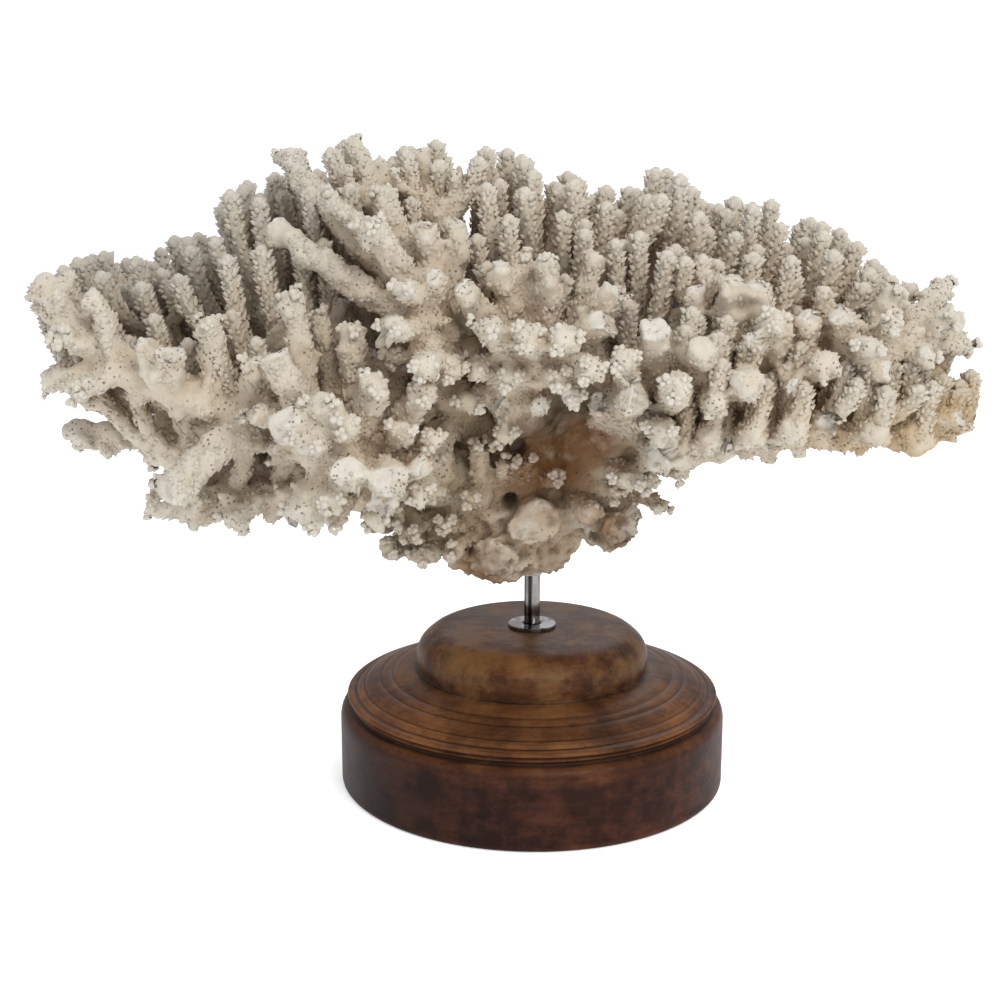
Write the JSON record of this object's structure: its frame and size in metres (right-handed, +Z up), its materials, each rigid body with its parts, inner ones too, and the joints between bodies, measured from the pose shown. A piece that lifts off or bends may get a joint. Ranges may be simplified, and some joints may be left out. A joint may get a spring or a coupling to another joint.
{
  "type": "branching coral on a turned wooden stand",
  "caption": "Dried table coral, a wide flat-topped thicket of upright fingers, held on a steel rod over a round turned wooden stand.",
  "frame": {"origin": "centre of the stand's flat underside", "axes": "+Z up along the rod, +X along the coral's longest reach, to the right of the side seen first, which faces -Y"},
  "size_m": [0.4355, 0.2424, 0.3172],
  "materials": {
    "coral": "dry chalky coral skeleton, off-white tips, cream sides and tan hollows",
    "wood": "dark red-brown stain with a worn satin varnish and fine turning lines",
    "steel": "smooth bright rod and flat washer",
    "cement": "dull pale grey cement"
  },
  "bodies": {
    "root": {"turned_base": "wood", "washer": "steel", "rod": "steel", "cement_ring": "cement", "coral_holdfast": "coral", "limb_left": "coral", "limb_front_left": "coral", "limb_left_low": "coral", "limb_left_stub": "coral", "limb_upper_front": "coral", "limb_centre_front": "coral", "limb_right_front": "coral", "limb_right_low": "coral", "limb_left_back": "coral", "limb_back_left": "coral", "limb_back": "coral", "limb_back_right": "coral", "limb_right_back": "coral", "limb_centre": "coral"}
  },
  "joints": []
}
